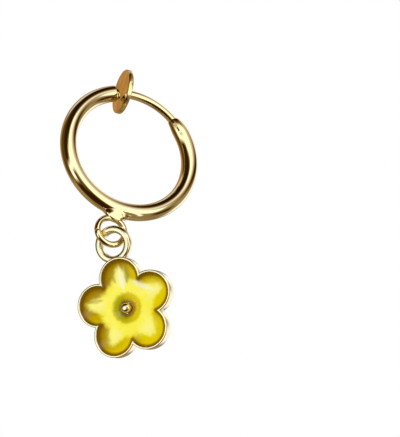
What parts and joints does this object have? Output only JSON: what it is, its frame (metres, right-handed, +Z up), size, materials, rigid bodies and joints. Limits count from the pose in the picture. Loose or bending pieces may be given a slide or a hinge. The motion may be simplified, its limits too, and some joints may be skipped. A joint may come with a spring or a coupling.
{
  "type": "clip on hoop earring with a flower drop",
  "caption": "Small hoop earring that grips an unpierced lobe between a plugged tube end and a sprung sliding pad, with a hanging enamelled flower.",
  "frame": {"origin": "middle of the grip, where the shut pad's face meets the plug's slanted head and the lobe is held", "axes": "+Z up as the earring hangs on an ear, -Y to the front, X across the hoop and nearly through the lobe"},
  "size_m": [0.0158, 0.0085, 0.0296],
  "materials": {
    "gold": "polished gold plate",
    "pale_gold": "polished pale gold plate on a casting",
    "enamel": "glossy translucent enamel"
  },
  "bodies": {
    "hoop_body": {"hoop": "gold", "end_plug": "gold"},
    "clamp": {"clamp_pad": "gold"},
    "flower_drop": {"charm": "pale_gold", "enamel": "enamel"}
  },
  "joints": [
    {"name": "clamp_slide", "type": "hinge", "parent": "hoop_body", "child": "clamp", "pos_m": [-0.00094, -0.00091, -0.00653], "axis": [0, 0.9905, -0.1374], "range_deg": [0, 40], "stiffness_Nm_per_rad": 0.0057, "springref_deg": -40.11},
    {"name": "flower_swing", "type": "hinge", "parent": "hoop_body", "child": "flower_drop", "pos_m": [-0.0054, -0.00203, -0.01603], "axis": [0.7408, 0.6717, 0], "range_deg": [-90, 90]}
  ]
}
